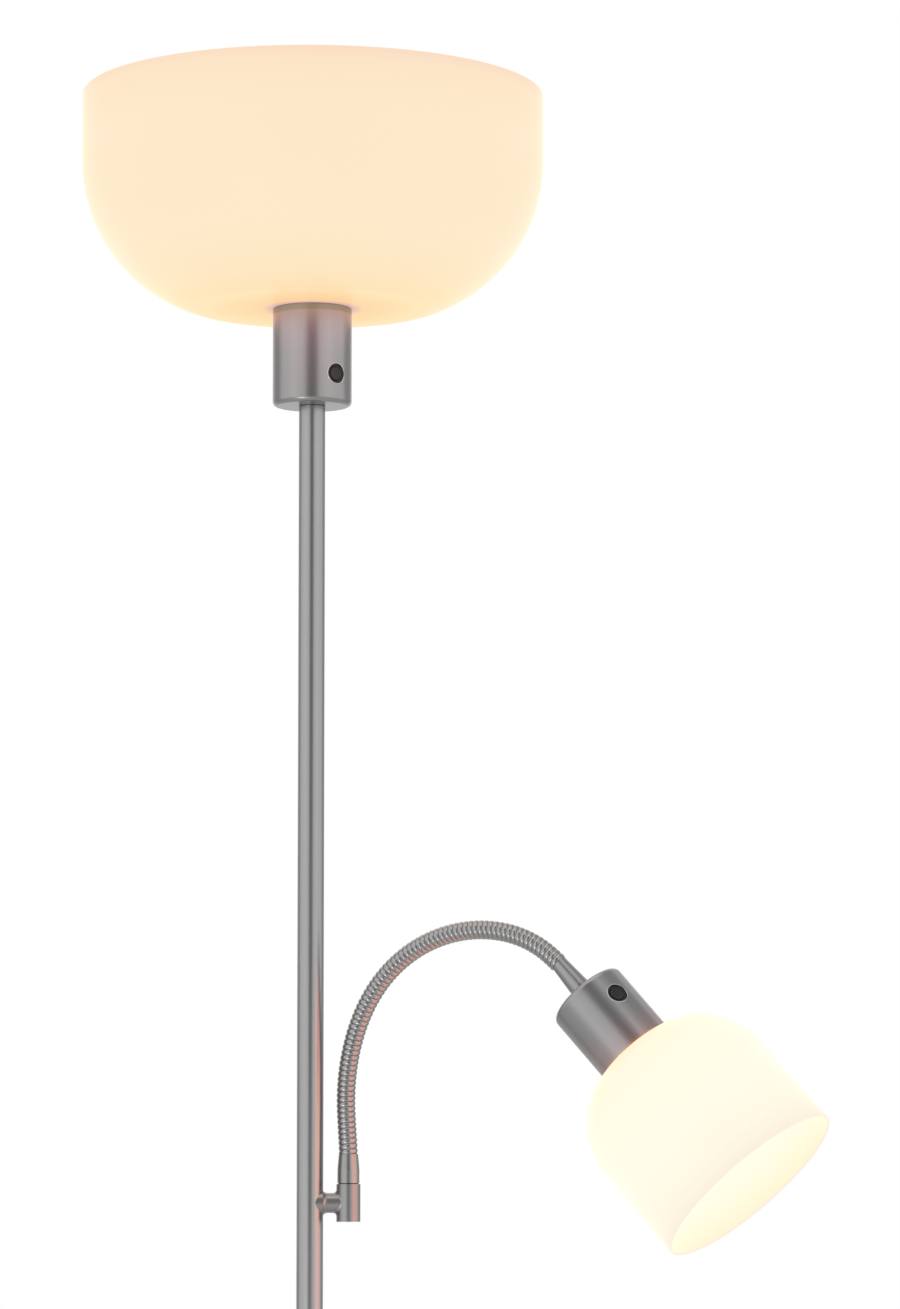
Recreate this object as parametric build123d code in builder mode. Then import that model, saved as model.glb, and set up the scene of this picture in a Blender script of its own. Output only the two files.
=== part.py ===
"""Torchiere floor lamp with a reading light on a gooseneck.

Millimetres, +Z up, origin at the middle of the base's underside.
The uplight bowl, its housing, the pole and the base share the Z axis.
The gooseneck lies in one upright plane, which the swivel turns about the
tee's barrel, so the reading head has a slanted axis of its own.
"""
from build123d import *
import os
from math import cos, sin, radians, sqrt

os.makedirs("parts", exist_ok=True)

# ---------------------------------------------------------------- base
pad_radius = 124.0
pad_thickness = 2.0
weight_radius = 120.0
weight_thickness = 20.0
weight_boss_radius = 26.0
weight_boss_height = 10.8
weight_pocket_radius = 18.0
weight_pocket_roof = 5.0
cover_radius = 130.0
cover_wall = 1.2
cover_skirt = 13.0
cover_edge_radius = 9.0

# ---------------------------------------------------------------- pole
pole_radius = 8.0
pole_wall = 1.2
pole_edge_chamfer = 0.3
pole_section_length = 503.0
pole_top_section_length = 568.0
coupler_length = 44.0
plug_length = 24.0
plug_clearance = 0.05
coupler_bore_radius = 4.2

# ------------------------------------------- hollow threaded rods, nuts
nipple_radius = 5.0
nipple_bore_radius = 3.6
nipple_fit = 0.06
nut_thickness = 5.0
nut_across_flats = 14.0
washer_radius = 11.0
washer_thickness = 1.5

# ------------------------------------------------ mains lead and inlet
lead_radius = 3.0
lead_bend_radius = 14.0
lead_height = 9.0
channel_clearance = 1.0
gland_radius = 4.5
gland_flange_radius = 5.8
gland_flange = 2.0
gland_inside = 7.0
gland_gap = 0.1

# ------------------------------------------------------ both housings
housing_radius = 24.0
housing_wall = 1.5
housing_edge_radius = 3.0
housing_lip_radius = 0.5
upper_housing_length = 60.0
head_housing_length = 48.0

# ----------------------------------------------- both push switches
switch_rise = 17.5
switch_hole_radius = 6.0
switch_hole_chamfer = 0.35
switch_fit = 0.08
switch_face_radius = 22.9
switch_back_radius = 8.5
switch_flange_radius = 7.4
switch_flange = 1.5
button_radius = 4.3
button_fit = 0.08
button_face_radius = 23.3
button_dome = 0.5
button_travel = 1.5
button_length = 7.6
upper_switch_azimuth = -50.4
head_switch_angle = -53.7

# -------------------------------------------------------- uplight bowl
bowl_radius = 140.5
bowl_side_height = 42.0
bowl_belly_radius = 94.0
bowl_belly_sweep = 69.2
bowl_corner_radius = 34.5
bowl_wall = 3.0

# ------------------------------------------------------- reading shade
shade_top_radius = 17.6
shade_shoulder_radius = 42.0
shade_depth = 104.2
shade_flare = 0.3
shade_wall = 2.0

# ---------------------------------------------------------- lampholders
upper_holder_radius = 19.0
upper_holder_length = 52.0
upper_holder_start = 30.0
upper_holder_cavity = 26.0
upper_cap_radius = 13.2
head_holder_radius = 14.0
head_holder_length = 38.0
head_holder_start = 25.0
head_holder_cavity = 23.0
head_cap_radius = 6.9
holder_fit = 0.3
holder_grip = 8.0
ring_fit = 0.06
ring_width = 8.0
ring_thickness = 6.0

# ---------------------------------------------------------------- bulbs
cap_clearance = 0.8
cap_stand = 0.3
upper_cap_length = 27.0
upper_globe_radius = 30.0
upper_globe_length = 82.0
head_cap_length = 24.0
head_globe_radius = 22.5
head_globe_length = 52.0
globe_neck_angle = 25.0
globe_mid_angle = 35.0

# --------------------------------------------------- tee and swivel
tee_rise = 87.2
arm_reach = 23.0
barrel_radius = 7.2
barrel_height = 22.4
boss_radius = 5.95
boss_flare_radius = 3.2
boss_flare_sweep = 52.0
boss_fillet = 2.0
stem_radius = 4.45
stem_fit = 0.05
stem_thread_radius = 3.0
nut_pocket_radius = 5.8
nut_pocket_depth = 5.9
swivel_nut_radius = 5.2
swivel_nut_gap = 0.1
swivel_nut_height = 4.0
tee_cap_thickness = 1.2
tee_cap_fit = 0.05
swivel_washer_radius = 6.0
swivel_washer_thickness = 0.5
swivel_gap = 0.05

# ------------------------------------------------------------- gooseneck
arm_azimuth = -24.0
ferrule_height = 17.3
ferrule_straight = 8.0
ferrule_radius = 6.6
ferrule_tip_radius = 5.8
span_length = 15.73
ribs_per_span = 5
rib_radius = 5.7
groove_radius = 5.2
neck_bore_radius = 2.4
ball_radius = 4.4
ball_gap = 0.3
hinge_gap = 2.6
knuckle_radius = 5.1
bend_bore_radius = 3.0
rib_end_gap = 1.0
stub_radius = 3.6
stub_length = 7.0
stub_fit = 0.05
hinge_numbers = (2, 6, 9, 13)
neck_turns = (-4.0, 1.0, 6.5, 7.0, 7.5, 8.5, 10.0, 11.0,
              11.0, 11.0, 10.5, 11.0, 11.0, 13.0, 14.0, 8.5)
head_ferrule_length = 26.4
head_ferrule_tip_radius = 4.9
head_ferrule_radius = 6.3
head_ferrule_straight = 6.0
head_nipple_radius = 4.0
head_nipple_bore_radius = 2.4
head_nipple_grip = 10.0
head_nut_across_flats = 12.0
head_washer_radius = 9.0

# ------------------------------------------- heights worked out from these
weight_top = pad_thickness + weight_thickness
boss_top = weight_top + weight_boss_height
base_top = boss_top + cover_wall
pocket_top = boss_top - weight_pocket_roof
housing_floor = base_top + 2 * pole_section_length + pole_top_section_length
bowl_floor = housing_floor + upper_housing_length
belly_turn = radians(bowl_belly_sweep)
bowl_depth = (bowl_side_height + bowl_belly_radius * sin(belly_turn)
              + bowl_corner_radius * (1 - sin(belly_turn)))
tee_height = base_top + 2 * pole_section_length + tee_rise
tee_top = tee_height + barrel_height / 2
tee_floor = tee_height - barrel_height / 2
ferrule_floor = tee_top + swivel_gap + swivel_washer_thickness
neck_foot = ferrule_floor + ferrule_height + rib_end_gap

# ------------------------------------------- the arm's plane and the pivots
outward = Vector(cos(radians(arm_azimuth)), sin(radians(arm_azimuth)), 0)
upward = Vector(0, 0, 1)
hinge_axis = upward.cross(outward)


def heading(angle):
    """Direction in the arm's plane, in degrees above the horizontal."""
    return outward * cos(radians(angle)) + upward * sin(radians(angle))


pivots = [Vector(arm_reach, 0, neck_foot)]
headings = [90.0]
for turn in neck_turns:
    headings.append(headings[-1] - turn)
for angle in headings[1:-1]:
    pivots.append(pivots[-1] + heading(angle) * span_length)
head_angle = headings[-1]
head_axis = heading(head_angle)
head_floor = pivots[-1] + head_axis * head_ferrule_length

# Each seat is a plane at a housing's closed end, with its Z along the axis.
upper_seat = Plane(origin=(0, 0, housing_floor), x_dir=(1, 0, 0), z_dir=(0, 0, 1))
head_seat = Plane(origin=head_floor, x_dir=-hinge_axis, z_dir=head_axis)


def profile_plane(seat, rise=0.0):
    """Plane through the seat's axis: local X is radial, local Y is axial."""
    return Plane(origin=seat.origin + seat.z_dir * rise, x_dir=seat.x_dir, z_dir=-seat.y_dir)


def axis_of(seat):
    return Axis(seat.origin, seat.z_dir)


def turned(seat, outline, rise=0.0):
    """A turned piece: its half outline, as (radius, height), about the seat's axis."""
    with BuildPart() as piece:
        with BuildSketch(profile_plane(seat, rise)):
            with BuildLine():
                Polyline(*outline, close=True)
            make_face()
        revolve(axis=axis_of(seat))
    return piece


def tube_outline(outer, bore, length):
    return [(bore, 0), (outer, 0), (outer, length), (bore, length)]


def pole_outline(length):
    """A section of the pole, its outer edges chamfered so that each joint shows."""
    edge = pole_radius - pole_edge_chamfer
    return [(pole_bore, 0), (edge, 0), (pole_radius, pole_edge_chamfer),
            (pole_radius, length - pole_edge_chamfer), (edge, length), (pole_bore, length)]


def hex_nut(seat, rise, across_flats, bore, thickness):
    with BuildPart() as nut:
        with BuildSketch(seat.offset(rise)):
            RegularPolygon(radius=across_flats / 2, side_count=6, major_radius=False)
            Circle(bore, mode=Mode.SUBTRACT)
        extrude(amount=thickness)
    return nut


# ================================================================= base
floor_seat = Plane.XY

base_pad = turned(floor_seat, [(0, 0), (pad_radius, 0), (pad_radius, pad_thickness), (0, pad_thickness)])
base_pad.part.label = "base_pad"
export_step(base_pad.part, "parts/base_pad.step")

channel_width = 2 * (lead_radius + channel_clearance)
channel_roof = lead_height + lead_radius + channel_clearance

with BuildPart() as base_weight:
    with BuildSketch(Plane.XY.offset(pad_thickness)):
        Circle(weight_radius)
    extrude(amount=weight_thickness)
    with BuildSketch(Plane.XY.offset(weight_top)):
        Circle(weight_boss_radius)
    extrude(amount=weight_boss_height)
    with BuildSketch(Plane.XY.offset(pad_thickness)):
        Circle(weight_pocket_radius)
    extrude(amount=pocket_top - pad_thickness, mode=Mode.SUBTRACT)
    with BuildSketch(Plane.XY.offset(pocket_top)):
        Circle(nipple_radius + nipple_fit)
    extrude(amount=weight_pocket_roof, mode=Mode.SUBTRACT)
    with BuildSketch(Plane.XY.offset(pad_thickness)):
        with Locations((0, weight_radius / 2)):
            Rectangle(channel_width, weight_radius)
    extrude(amount=channel_roof - pad_thickness, mode=Mode.SUBTRACT)
base_weight.part.label = "base_weight"
export_step(base_weight.part, "parts/base_weight.step")


def cover_line(inset):
    """Half outline of the spun cover: skirt, rolled edge and shallow cone."""
    rolled = cover_edge_radius - inset
    shoulder = cover_radius - cover_edge_radius
    skirt_top = pad_thickness + cover_skirt
    rim = Line((cover_radius - inset, pad_thickness), (cover_radius - inset, skirt_top))
    edge = RadiusArc(rim @ 1, (shoulder, skirt_top + rolled), -rolled)
    cone = Line(edge @ 1, (weight_boss_radius, base_top - inset))
    crown = Line(cone @ 1, (nipple_radius + nipple_fit, base_top - inset))
    return rim, crown


with BuildPart() as base_cover:
    with BuildSketch(Plane.XZ):
        with BuildLine():
            outer_rim, outer_crown = cover_line(0)
            inner_rim, inner_crown = cover_line(cover_wall)
            Line(outer_rim @ 0, inner_rim @ 0)
            Line(outer_crown @ 1, inner_crown @ 1)
        make_face()
    revolve(axis=Axis.Z)
    with BuildSketch(Plane.XZ.offset(-cover_radius - gland_flange)):
        with Locations((0, lead_height)):
            Circle(gland_radius)
    extrude(amount=cover_edge_radius, mode=Mode.SUBTRACT)
base_cover.part.label = "base_cover"
export_step(base_cover.part, "parts/base_cover.step")

# The gland lies along +Y, at the back of the base.
gland_seat = Plane(origin=(0, cover_radius, lead_height), x_dir=(1, 0, 0), z_dir=(0, 1, 0))
gland_bore = lead_radius + ring_fit
gland_neck = gland_radius - ring_fit
cord_gland = turned(gland_seat, [(gland_bore, -gland_inside), (gland_neck, -gland_inside),
                                 (gland_neck, gland_gap), (gland_flange_radius, gland_gap),
                                 (gland_neck, gland_flange), (gland_bore, gland_flange)])
cord_gland.part.label = "cord_gland"
export_step(cord_gland.part, "parts/cord_gland.step")

lead_bend_top = lead_height + lead_bend_radius
base_nut_floor = pocket_top - washer_thickness - nut_thickness
base_nipple_floor = lead_bend_top

base_nipple = turned(floor_seat, tube_outline(nipple_radius, nipple_bore_radius,
                                              base_top + plug_length - base_nipple_floor), base_nipple_floor)
base_nipple.part.label = "base_nipple"
export_step(base_nipple.part, "parts/base_nipple.step")

base_washer = turned(floor_seat, tube_outline(washer_radius, nipple_radius + nipple_fit, washer_thickness),
                     pocket_top - washer_thickness)
base_washer.part.label = "base_washer"
export_step(base_washer.part, "parts/base_washer.step")

base_nut = hex_nut(floor_seat, base_nut_floor, nut_across_flats, nipple_radius + nipple_fit, nut_thickness)
base_nut.part.label = "base_nut"
export_step(base_nut.part, "parts/base_nut.step")

# ================================================================= pole
pole_bore = pole_radius - pole_wall
plug_radius = pole_bore - plug_clearance
lower_joint = base_top + pole_section_length
upper_joint = lower_joint + pole_section_length

pole_lower = turned(floor_seat, pole_outline(pole_section_length), base_top)
pole_lower.part.label = "pole_lower"
export_step(pole_lower.part, "parts/pole_lower.step")

pole_middle = turned(floor_seat, pole_outline(pole_section_length), lower_joint)
pole_middle.part.label = "pole_middle"
export_step(pole_middle.part, "parts/pole_middle.step")

tee_plane = Plane(origin=(0, 0, tee_height), x_dir=(0, 1, 0), z_dir=(1, 0, 0))
tee_lead_radius = neck_bore_radius

with BuildPart() as pole_upper:
    with BuildSketch(profile_plane(floor_seat, upper_joint)):
        with BuildLine():
            Polyline(*pole_outline(pole_top_section_length), close=True)
        make_face()
    revolve(axis=Axis.Z)
    with BuildSketch(tee_plane):
        Circle(tee_lead_radius)
    extrude(amount=pole_radius + pole_wall, mode=Mode.SUBTRACT)
pole_upper.part.label = "pole_upper"
export_step(pole_upper.part, "parts/pole_upper.step")

coupler_outline = tube_outline(plug_radius, coupler_bore_radius, coupler_length)
pole_coupler_lower = turned(floor_seat, coupler_outline, lower_joint - coupler_length / 2)
pole_coupler_lower.part.label = "pole_coupler_lower"
export_step(pole_coupler_lower.part, "parts/pole_coupler_lower.step")

pole_coupler_upper = turned(floor_seat, coupler_outline, upper_joint - coupler_length / 2)
pole_coupler_upper.part.label = "pole_coupler_upper"
export_step(pole_coupler_upper.part, "parts/pole_coupler_upper.step")

plug_outline = tube_outline(plug_radius, nipple_radius + nipple_fit, plug_length)
pole_foot_plug = turned(floor_seat, plug_outline, base_top)
pole_foot_plug.part.label = "pole_foot_plug"
export_step(pole_foot_plug.part, "parts/pole_foot_plug.step")

pole_head_plug = turned(floor_seat, plug_outline, housing_floor - plug_length)
pole_head_plug.part.label = "pole_head_plug"
export_step(pole_head_plug.part, "parts/pole_head_plug.step")

# The lead comes in at the gland, turns up under the pole and ends in the holder.
upper_holder_floor = housing_floor + upper_holder_start
lead_top = upper_holder_floor + upper_holder_length - upper_holder_cavity - holder_fit

bend_middle = lead_bend_radius * (1 - sin(radians(45)))

with BuildPart() as mains_lead:
    with BuildLine() as lead_path:
        run = Line((0, cover_radius + gland_flange, lead_height), (0, lead_bend_radius, lead_height))
        bend = ThreePointArc(run @ 1, (0, bend_middle, lead_bend_top - lead_bend_radius + bend_middle),
                             (0, 0, lead_bend_top))
        Line(bend @ 1, (0, 0, lead_top))
    with BuildSketch(Plane(origin=run @ 0, z_dir=(0, -1, 0))):
        Circle(lead_radius)
    sweep(path=lead_path.line)
mains_lead.part.label = "mains_lead"
export_step(mains_lead.part, "parts/mains_lead.step")

# ================================================== tee and lower ferrule
pocket_roof = tee_floor + nut_pocket_depth
boss_waist = pole_radius + boss_flare_radius * cos(radians(90 - boss_flare_sweep))

with BuildPart() as tee_bracket:
    with BuildSketch(Plane.XY.offset(tee_floor)):
        with Locations((arm_reach, 0)):
            Circle(barrel_radius)
    extrude(amount=barrel_height)
    with BuildSketch(tee_plane):
        Circle(boss_radius)
    extrude(amount=arm_reach)
    joint_edges = tee_bracket.edges().filter_by(GeomType.BSPLINE)
    fillet(joint_edges, boss_fillet)
    with BuildSketch(Plane(origin=(0, 0, tee_height), x_dir=(1, 0, 0), z_dir=(0, -1, 0))):
        with BuildLine():
            waist = Line((0, boss_radius - boss_fillet), (boss_waist, boss_radius - boss_fillet))
            lip = Line(waist @ 1, (boss_waist, boss_radius))
            flare = JernArc(lip @ 1, (-1, 0), boss_flare_radius, -boss_flare_sweep)
            top = Line(flare @ 1, (0, (flare @ 1).Y))
            Line(top @ 1, waist @ 0)
        make_face()
    revolve(axis=Axis((0, 0, tee_height), (1, 0, 0)))
    with BuildSketch(Plane.XY.offset(tee_floor)):
        Circle(pole_radius)
    extrude(amount=barrel_height, mode=Mode.SUBTRACT)
    with BuildSketch(tee_plane):
        Circle(tee_lead_radius)
    extrude(amount=arm_reach, mode=Mode.SUBTRACT)
    with BuildSketch(Plane.XY.offset(tee_floor)):
        with Locations((arm_reach, 0)):
            Circle(stem_radius + stem_fit)
    extrude(amount=barrel_height, mode=Mode.SUBTRACT)
    with BuildSketch(Plane.XY.offset(tee_floor)):
        with Locations((arm_reach, 0)):
            Circle(nut_pocket_radius)
    extrude(amount=nut_pocket_depth, mode=Mode.SUBTRACT)
tee_bracket.part.label = "tee_bracket"
export_step(tee_bracket.part, "parts/tee_bracket.step")

# The swivel's seat is on the barrel's axis, and its pieces are placed by height.
swivel_seat = Plane(origin=(arm_reach, 0, 0), x_dir=(1, 0, 0), z_dir=(0, 0, 1))

with BuildPart() as tee_cap:
    with BuildSketch(swivel_seat.offset(tee_floor)):
        Circle(nut_pocket_radius - tee_cap_fit)
    extrude(amount=tee_cap_thickness)
tee_cap.part.label = "tee_cap"
export_step(tee_cap.part, "parts/tee_cap.step")

swivel_washer = turned(swivel_seat, tube_outline(swivel_washer_radius, stem_radius + stem_fit,
                                                 swivel_washer_thickness), tee_top + swivel_gap)
swivel_washer.part.label = "swivel_washer"
export_step(swivel_washer.part, "parts/swivel_washer.step")

swivel_nut_roof = pocket_roof - swivel_nut_gap
swivel_nut = turned(swivel_seat, tube_outline(swivel_nut_radius, stem_thread_radius + stem_fit,
                                              swivel_nut_height), swivel_nut_roof - swivel_nut_height)
swivel_nut.part.label = "swivel_nut"
export_step(swivel_nut.part, "parts/swivel_nut.step")

# The stem runs down through the barrel, and its thread holds the nut.
stem_foot = swivel_nut_roof - swivel_nut_height
stub_bore = stub_radius + stub_fit

with BuildPart() as lower_ferrule:
    with BuildSketch(profile_plane(swivel_seat)):
        with BuildLine():
            Polyline((neck_bore_radius, stem_foot), (stem_thread_radius, stem_foot),
                     (stem_thread_radius, swivel_nut_roof), (stem_radius, swivel_nut_roof),
                     (stem_radius, ferrule_floor), (ferrule_radius, ferrule_floor),
                     (ferrule_radius, ferrule_floor + ferrule_straight),
                     (ferrule_tip_radius, ferrule_floor + ferrule_height),
                     (stub_bore, ferrule_floor + ferrule_height),
                     (stub_bore, ferrule_floor + ferrule_height - stub_length),
                     (neck_bore_radius, ferrule_floor + ferrule_height - stub_length), close=True)
        make_face()
    revolve(axis=axis_of(swivel_seat))
lower_ferrule.part.label = "lower_ferrule"
export_step(lower_ferrule.part, "parts/lower_ferrule.step")

# ============================================================= gooseneck
# The hose is cut at four of its pivots, where a ball on one length sits in the
# end of the length before. Stubs at both ends of the hose fill the ferrules.
# It is made about its own foot and then lifted to the swivel.
socket_radius = ball_radius + ball_gap
cuts = (0,) + hinge_numbers + (len(pivots) - 1,)
rib_steps = ((0.0, groove_radius), (0.25, rib_radius), (0.75, rib_radius), (1.0, groove_radius))


def neck_plane(start, direction, distance):
    """Plane square to the neck, at a distance along it."""
    return Plane(origin=start + direction * distance, x_dir=hinge_axis, z_dir=direction)


joints = [pivot - pivots[0] for pivot in pivots]
stubs = {1: (joints[0], -upward), len(cuts) - 1: (joints[-1], head_axis)}

for length, (first, last) in enumerate(zip(cuts, cuts[1:]), start=1):
    with BuildPart() as neck_hose:
        for number in range(first + 1, last + 1):
            start = joints[number - 1]
            direction = heading(headings[number])
            foot_gap = hinge_gap if number - 1 in hinge_numbers else rib_end_gap
            head_gap = hinge_gap if number in hinge_numbers else rib_end_gap
            rib_pitch = (span_length - foot_gap - head_gap) / ribs_per_span
            for rib in range(ribs_per_span):
                for share, radius in rib_steps:
                    with BuildSketch(neck_plane(start, direction, foot_gap + rib_pitch * (rib + share))):
                        Circle(radius)
                loft(ruled=True)
        for number in range(first + 1, last):
            with Locations(neck_plane(joints[number], heading(headings[max(number, 1)]), 0)):
                Sphere(knuckle_radius)
        if length in stubs:
            with BuildSketch(neck_plane(*stubs[length], -rib_end_gap)):
                Circle(groove_radius)
            extrude(amount=2 * rib_end_gap)
            with BuildSketch(neck_plane(*stubs[length], 0)):
                Circle(stub_radius)
            extrude(amount=stub_length + rib_end_gap)
        if first in hinge_numbers:
            with Locations(neck_plane(joints[first], heading(headings[first + 1]), 0)):
                Sphere(ball_radius)
        if last in hinge_numbers:
            with Locations(neck_plane(joints[last], heading(headings[last]), 0)):
                Sphere(socket_radius, mode=Mode.SUBTRACT)
        for number in range(first + 1, last + 1):
            bore_start = -socket_radius if number - 1 in hinge_numbers else 0
            with BuildSketch(neck_plane(joints[number - 1], heading(headings[number]), bore_start)):
                Circle(neck_bore_radius)
            extrude(amount=span_length - bore_start, mode=Mode.SUBTRACT)
        for number in range(first, last + 1):
            if number not in hinge_numbers:
                with Locations(neck_plane(joints[number], heading(headings[max(number, 1)]), 0)):
                    Sphere(bend_bore_radius, mode=Mode.SUBTRACT)
        if length in stubs:
            with BuildSketch(neck_plane(*stubs[length], 0)):
                Circle(neck_bore_radius)
            extrude(amount=stub_length + 2 * rib_end_gap, mode=Mode.SUBTRACT)
    label = f"neck_hose_{length}"
    neck_hose = Pos(*pivots[0]) * neck_hose.part
    neck_hose.label = label
    export_step(neck_hose, f"parts/{label}.step")

# ========================================================= upper ferrule
ferrule_seat = Plane(origin=pivots[-1], x_dir=-hinge_axis, z_dir=head_axis)
ferrule_bore_floor = head_ferrule_length - head_nipple_grip

with BuildPart() as upper_ferrule:
    with BuildSketch(profile_plane(ferrule_seat)):
        with BuildLine():
            Polyline((0, rib_end_gap), (head_ferrule_tip_radius, rib_end_gap),
                     (head_ferrule_radius, head_ferrule_length - head_ferrule_straight),
                     (head_ferrule_radius, head_ferrule_length), (0, head_ferrule_length), close=True)
        make_face()
    revolve(axis=axis_of(ferrule_seat))
    with BuildSketch(ferrule_seat.offset(rib_end_gap)):
        Circle(stub_bore)
    extrude(amount=stub_length, mode=Mode.SUBTRACT)
    with BuildSketch(ferrule_seat.offset(rib_end_gap)):
        Circle(neck_bore_radius)
    extrude(amount=head_ferrule_length, mode=Mode.SUBTRACT)
    with BuildSketch(ferrule_seat.offset(ferrule_bore_floor)):
        Circle(head_nipple_radius + nipple_fit)
    extrude(amount=head_nipple_grip, mode=Mode.SUBTRACT)
upper_ferrule.part.label = "upper_ferrule"
export_step(upper_ferrule.part, "parts/upper_ferrule.step")

# ================================================= housings and switches


def switch_plane(seat, angle):
    """Plane on a housing's axis, facing the switch: angle from the seat's X."""
    across = seat.x_dir * cos(radians(angle)) + seat.y_dir * sin(radians(angle))
    return Plane(origin=seat.origin + seat.z_dir * switch_rise, x_dir=seat.z_dir, z_dir=across)


def housing(seat, length, bore, switch_face):
    """A drawn cup: closed end rounded, open end towards the shade."""
    with BuildPart() as cup:
        with BuildSketch(seat):
            Circle(housing_radius)
        extrude(amount=length)
        rims = cup.edges().sort_by(axis_of(seat))
        fillet(rims[0], housing_edge_radius)
        fillet(rims[-1], housing_lip_radius)
        with BuildSketch(seat.offset(housing_wall)):
            Circle(housing_radius - housing_wall)
        extrude(amount=length, mode=Mode.SUBTRACT)
        with BuildSketch(seat):
            Circle(bore)
        extrude(amount=housing_wall, mode=Mode.SUBTRACT)
        before = cup.edges()
        with BuildSketch(switch_face.offset(switch_back_radius)):
            Circle(switch_hole_radius)
        extrude(amount=housing_radius, mode=Mode.SUBTRACT)
        mouth = (cup.edges() - before).sort_by(Axis(switch_face.origin, switch_face.z_dir))[-1]
        chamfer(mouth, switch_hole_chamfer)
    return cup


def switch_body(face):
    """The switch's can, with its flange behind the wall and a well for the button."""
    well_floor = button_face_radius - button_length - button_travel - button_fit
    can_radius = switch_hole_radius - switch_fit
    flange_top = sqrt((housing_radius - housing_wall) ** 2 - switch_flange_radius ** 2) - switch_fit
    with BuildPart() as can:
        with BuildSketch(face.offset(switch_back_radius)):
            Circle(can_radius)
        extrude(amount=switch_face_radius - switch_back_radius)
        with BuildSketch(face.offset(flange_top - switch_flange)):
            Circle(switch_flange_radius)
        extrude(amount=switch_flange)
        with BuildSketch(face.offset(well_floor)):
            Circle(button_radius + button_fit)
        extrude(amount=switch_face_radius - well_floor, mode=Mode.SUBTRACT)
    return can


def push_button(face):
    with BuildPart() as button:
        with BuildSketch(face.offset(button_face_radius - button_length)):
            Circle(button_radius)
        extrude(amount=button_length)
        rim = button.edges().sort_by(Axis(face.origin, face.z_dir))[-1]
        fillet(rim, button_dome)
    return button


upper_switch_face = switch_plane(upper_seat, upper_switch_azimuth)
head_switch_face = switch_plane(head_seat, head_switch_angle)

upper_housing = housing(upper_seat, upper_housing_length, nipple_radius + nipple_fit, upper_switch_face)
upper_housing.part.label = "upper_housing"
export_step(upper_housing.part, "parts/upper_housing.step")

head_housing = housing(head_seat, head_housing_length, head_nipple_radius + nipple_fit, head_switch_face)
head_housing.part.label = "head_housing"
export_step(head_housing.part, "parts/head_housing.step")

upper_switch = switch_body(upper_switch_face)
upper_switch.part.label = "upper_switch"
export_step(upper_switch.part, "parts/upper_switch.step")

head_switch = switch_body(head_switch_face)
head_switch.part.label = "head_switch"
export_step(head_switch.part, "parts/head_switch.step")

upper_button = push_button(upper_switch_face)
upper_button.part.label = "upper_button"
export_step(upper_button.part, "parts/upper_button.step")

head_button = push_button(head_switch_face)
head_button.part.label = "head_button"
export_step(head_button.part, "parts/head_button.step")

# ==================================== nipples, washers, nuts, lampholders
upper_nipple = turned(upper_seat, tube_outline(nipple_radius, nipple_bore_radius,
                                               plug_length + upper_holder_start + holder_grip), -plug_length)
upper_nipple.part.label = "upper_nipple"
export_step(upper_nipple.part, "parts/upper_nipple.step")

upper_washer = turned(upper_seat, tube_outline(washer_radius, nipple_radius + nipple_fit, washer_thickness),
                      housing_wall)
upper_washer.part.label = "upper_washer"
export_step(upper_washer.part, "parts/upper_washer.step")

upper_nut = hex_nut(upper_seat, housing_wall + washer_thickness, nut_across_flats,
                    nipple_radius + nipple_fit, nut_thickness)
upper_nut.part.label = "upper_nut"
export_step(upper_nut.part, "parts/upper_nut.step")

head_nipple = turned(head_seat, tube_outline(head_nipple_radius, head_nipple_bore_radius,
                                             head_nipple_grip + head_holder_start + holder_grip),
                     -head_nipple_grip)
head_nipple.part.label = "head_nipple"
export_step(head_nipple.part, "parts/head_nipple.step")

head_washer = turned(head_seat, tube_outline(head_washer_radius, head_nipple_radius + nipple_fit,
                                             washer_thickness), housing_wall)
head_washer.part.label = "head_washer"
export_step(head_washer.part, "parts/head_washer.step")

head_nut = hex_nut(head_seat, housing_wall + washer_thickness, head_nut_across_flats,
                   head_nipple_radius + nipple_fit, nut_thickness)
head_nut.part.label = "head_nut"
export_step(head_nut.part, "parts/head_nut.step")


def lampholder(seat, rise, radius, length, cavity_radius, cavity, bore):
    """A thimble: threaded on the nipple below, open for the bulb's cap above."""
    outline = [(bore, 0), (radius, 0), (radius, length), (cavity_radius, length),
               (cavity_radius, length - cavity), (bore, length - cavity)]
    return turned(seat, outline, rise)


upper_lampholder = lampholder(upper_seat, upper_holder_start, upper_holder_radius, upper_holder_length,
                              upper_cap_radius + cap_clearance, upper_holder_cavity,
                              nipple_radius + nipple_fit)
upper_lampholder.part.label = "upper_lampholder"
export_step(upper_lampholder.part, "parts/upper_lampholder.step")

head_lampholder = lampholder(head_seat, head_holder_start, head_holder_radius, head_holder_length,
                             head_cap_radius + cap_clearance, head_holder_cavity,
                             head_nipple_radius + nipple_fit)
head_lampholder.part.label = "head_lampholder"
export_step(head_lampholder.part, "parts/head_lampholder.step")

# =============================================== shades and their rings


def bowl_line(inset):
    """Half outline of the bowl from the rim down: side, belly, corner, flat floor."""
    floor = bowl_floor + inset
    side = Line((bowl_radius - inset, bowl_floor + bowl_depth),
                (bowl_radius - inset, bowl_floor + bowl_depth - bowl_side_height))
    belly = JernArc(side @ 1, (0, -1), bowl_belly_radius - inset, -bowl_belly_sweep)
    corner = JernArc(belly @ 1, belly % 1, bowl_corner_radius - inset, bowl_belly_sweep - 90)
    base = Line(corner @ 1, (upper_holder_radius + holder_fit, floor))
    return side, base


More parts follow.
